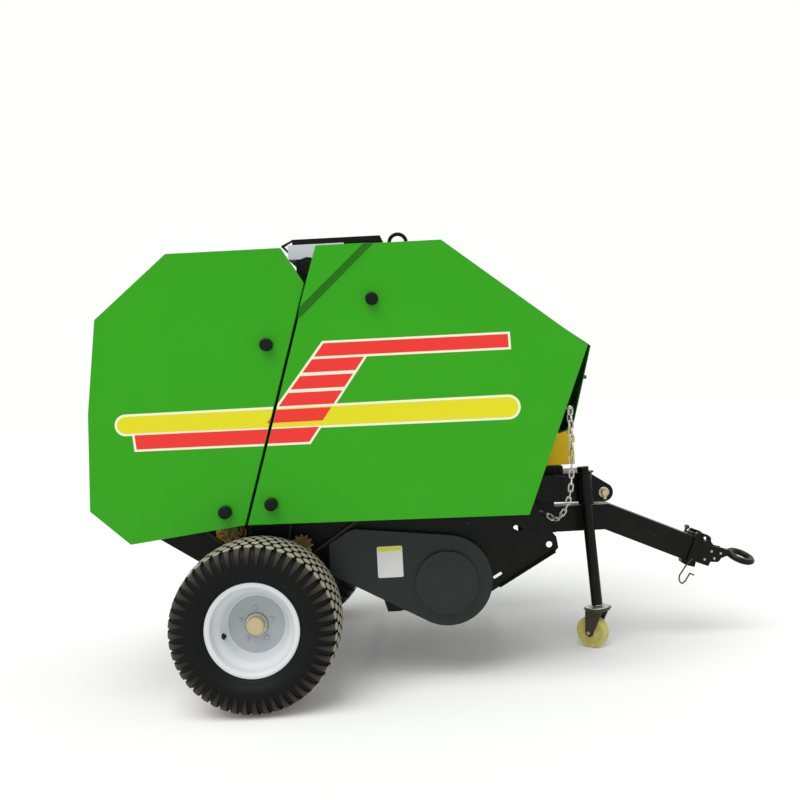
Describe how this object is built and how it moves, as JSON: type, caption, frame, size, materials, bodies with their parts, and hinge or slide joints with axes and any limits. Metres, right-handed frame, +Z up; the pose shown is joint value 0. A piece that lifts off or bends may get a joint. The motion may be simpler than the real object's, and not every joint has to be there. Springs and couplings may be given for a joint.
{
  "type": "small round baler",
  "caption": "Towed small round baler with green side panels, a ribbed-roller bale chamber, lifting tailgate, tined pickup, two turf-tyred wheels, drawbar with tow ring and a caster jack.",
  "frame": {"origin": "on the ground under the centre of the bounding box", "axes": "+X forward to the tow ring, +Y to the left of the machine, +Z up"},
  "size_m": [2.1912, 1.406, 1.4319],
  "materials": {
    "panel_green": "gloss green paint",
    "frame_black": "satin black paint",
    "guard_slate": "satin dark grey paint",
    "rail_grey": "light grey paint",
    "rim_white": "white-grey paint",
    "hub_brass": "yellow-passivated steel",
    "tyre": "matt black rubber",
    "zinc": "zinc-plated steel",
    "roller_steel": "black paint, worn on the ribs",
    "chain_steel": "oiled chain steel",
    "input_yellow": "amber plastic",
    "knob_black": "black plastic",
    "caster_yellow": "pale yellow plastic",
    "stripe_yellow": "yellow film stripe",
    "stripe_red": "red film stripe",
    "stripe_cream": "cream film outline"
  },
  "bodies": {
    "frame": {"side_wall_right": "frame_black", "side_wall_left": "frame_black", "top_rail": "rail_grey", "front_rail": "frame_black", "axle": "frame_black", "hitch_frame": "frame_black", "drawbar": "frame_black", "hitch_head": "frame_black", "tow_ring": "frame_black", "hitch_pin": "zinc", "slope_cover": "panel_green", "nose_cover": "panel_green", "top_hood": "frame_black", "lifting_rings": "frame_black", "front_panel_right": "panel_green", "front_panel_left": "panel_green", "front_knobs": "knob_black", "gearbox": "frame_black", "drive_tube": "frame_black", "pto_guard": "input_yellow", "pickup_plate_right": "frame_black", "pickup_plate_left": "frame_black", "pickup_bands": "guard_slate", "chain_guard": "guard_slate", "safety_chain": "zinc", "front_chain": "chain_steel"},
    "gate": {"gate_wall_right": "frame_black", "gate_wall_left": "frame_black", "gate_tubes": "frame_black", "rear_panel_right": "panel_green", "rear_panel_left": "panel_green", "rear_knobs": "knob_black", "gate_chain": "chain_steel"},
    "wheel_right": {"tyre_right": "tyre", "rim_right": "rim_white", "hub_right": "hub_brass"},
    "wheel_left": {"tyre_left": "tyre", "rim_left": "rim_white", "hub_left": "hub_brass"},
    "jack": {"jack_tube": "frame_black"},
    "caster": {"caster_fork": "guard_slate"},
    "caster_roll": {"caster_wheel": "caster_yellow"},
    "pickup": {"pickup_reel": "zinc"},
    "front_roller_1": {"front_roller_1": "roller_steel"},
    "front_roller_2": {"front_roller_2": "roller_steel"},
    "front_roller_3": {"front_roller_3": "roller_steel"},
    "front_roller_4": {"front_roller_4": "roller_steel"},
    "front_roller_5": {"front_roller_5": "roller_steel"},
    "front_roller_6": {"front_roller_6": "roller_steel"},
    "gate_roller_1": {"gate_roller_1": "roller_steel"},
    "gate_roller_2": {"gate_roller_2": "roller_steel"},
    "gate_roller_3": {"gate_roller_3": "roller_steel"},
    "gate_roller_4": {"gate_roller_4": "roller_steel"},
    "gate_roller_5": {"gate_roller_5": "roller_steel"},
    "gate_roller_6": {"gate_roller_6": "roller_steel"},
    "gate_roller_7": {"gate_roller_7": "roller_steel"},
    "input_shaft": {"pto_shaft": "zinc"}
  },
  "joints": [
    {"name": "wheel_right_spin", "type": "hinge", "parent": "frame", "child": "wheel_right", "pos_m": [-0.59563, -0.5755, 0.254], "axis": [0, 1, 0], "continuous": true},
    {"name": "wheel_left_spin", "type": "hinge", "parent": "frame", "child": "wheel_left", "pos_m": [-0.59563, 0.5755, 0.254], "axis": [0, 1, 0], "continuous": true},
    {"name": "gate_lift", "type": "hinge", "parent": "frame", "child": "gate", "pos_m": [-0.40963, 0, 1.33], "axis": [0, 1, 0], "range_deg": [0, 60]},
    {"name": "jack_raise", "type": "slide", "parent": "frame", "child": "jack", "axis": [-0.0523, 0, 0.9986], "range_m": [0, 0.25]},
    {"name": "caster_swivel", "type": "hinge", "parent": "jack", "child": "caster", "pos_m": [0.5005, -0.128, 0.13959], "axis": [-0.0523, 0, 0.9986], "continuous": true},
    {"name": "caster_spin", "type": "hinge", "parent": "caster", "child": "caster_roll", "pos_m": [0.48286, -0.11076, 0.05455], "axis": [0.6148, 0.788, 0.0322], "continuous": true},
    {"name": "pickup_spin", "type": "hinge", "parent": "frame", "child": "pickup", "pos_m": [-0.01763, 0, 0.322], "axis": [0, 1, 0], "continuous": true},
    {"name": "front_roller_1_spin", "type": "hinge", "parent": "frame", "child": "front_roller_1", "pos_m": [-0.36777, 0, 1.24194], "axis": [0, 1, 0], "continuous": true},
    {"name": "front_roller_2_spin", "type": "hinge", "parent": "frame", "child": "front_roller_2", "pos_m": [-0.22085, 0, 1.15278], "axis": [0, 1, 0], "continuous": true},
    {"name": "front_roller_3_spin", "type": "hinge", "parent": "frame", "child": "front_roller_3", "pos_m": [-0.12412, 0, 1.01072], "axis": [0, 1, 0], "continuous": true},
    {"name": "front_roller_4_spin", "type": "hinge", "parent": "frame", "child": "front_roller_4", "pos_m": [-0.09501, 0, 0.84133], "axis": [0, 1, 0], "continuous": true},
    {"name": "front_roller_5_spin", "type": "hinge", "parent": "frame", "child": "front_roller_5", "pos_m": [-0.13877, 0, 0.67513], "axis": [0, 1, 0], "continuous": true},
    {"name": "front_roller_6_spin", "type": "hinge", "parent": "frame", "child": "front_roller_6", "pos_m": [-0.47138, 0, 0.45499], "axis": [0, 1, 0], "continuous": true},
    {"name": "gate_roller_1_spin", "type": "hinge", "parent": "gate", "child": "gate_roller_1", "pos_m": [-0.59073, 0, 1.25362], "axis": [0, 1, 0], "continuous": true},
    {"name": "gate_roller_2_spin", "type": "hinge", "parent": "gate", "child": "gate_roller_2", "pos_m": [-0.73768, 0, 1.18665], "axis": [0, 1, 0], "continuous": true},
    {"name": "gate_roller_3_spin", "type": "hinge", "parent": "gate", "child": "gate_roller_3", "pos_m": [-0.84678, 0, 1.06759], "axis": [0, 1, 0], "continuous": true},
    {"name": "gate_roller_4_spin", "type": "hinge", "parent": "gate", "child": "gate_roller_4", "pos_m": [-0.90069, 0, 0.91536], "axis": [0, 1, 0], "continuous": true},
    {"name": "gate_roller_5_spin", "type": "hinge", "parent": "gate", "child": "gate_roller_5", "pos_m": [-0.89083, 0, 0.75418], "axis": [0, 1, 0], "continuous": true},
    {"name": "gate_roller_6_spin", "type": "hinge", "parent": "gate", "child": "gate_roller_6", "pos_m": [-0.81877, 0, 0.60966], "axis": [0, 1, 0], "continuous": true},
    {"name": "gate_roller_7_spin", "type": "hinge", "parent": "gate", "child": "gate_roller_7", "pos_m": [-0.69598, 0, 0.50478], "axis": [0, 1, 0], "continuous": true},
    {"name": "input_spin", "type": "hinge", "parent": "frame", "child": "input_shaft", "pos_m": [0.36437, 0, 0.697], "axis": [1, 0, 0], "continuous": true}
  ],
  "couplings": [
    {"joint": "front_roller_1_spin", "follows": "pickup_spin", "ratio": 2},
    {"joint": "front_roller_2_spin", "follows": "pickup_spin", "ratio": 2},
    {"joint": "front_roller_3_spin", "follows": "pickup_spin", "ratio": 2},
    {"joint": "front_roller_4_spin", "follows": "pickup_spin", "ratio": 2},
    {"joint": "front_roller_5_spin", "follows": "pickup_spin", "ratio": 2},
    {"joint": "front_roller_6_spin", "follows": "pickup_spin", "ratio": 2},
    {"joint": "gate_roller_1_spin", "follows": "pickup_spin", "ratio": 2},
    {"joint": "gate_roller_2_spin", "follows": "pickup_spin", "ratio": 2},
    {"joint": "gate_roller_3_spin", "follows": "pickup_spin", "ratio": 2},
    {"joint": "gate_roller_4_spin", "follows": "pickup_spin", "ratio": 2},
    {"joint": "gate_roller_5_spin", "follows": "pickup_spin", "ratio": 2},
    {"joint": "gate_roller_6_spin", "follows": "pickup_spin", "ratio": 2},
    {"joint": "gate_roller_7_spin", "follows": "pickup_spin", "ratio": 2},
    {"joint": "input_spin", "follows": "pickup_spin", "ratio": 5}
  ]
}
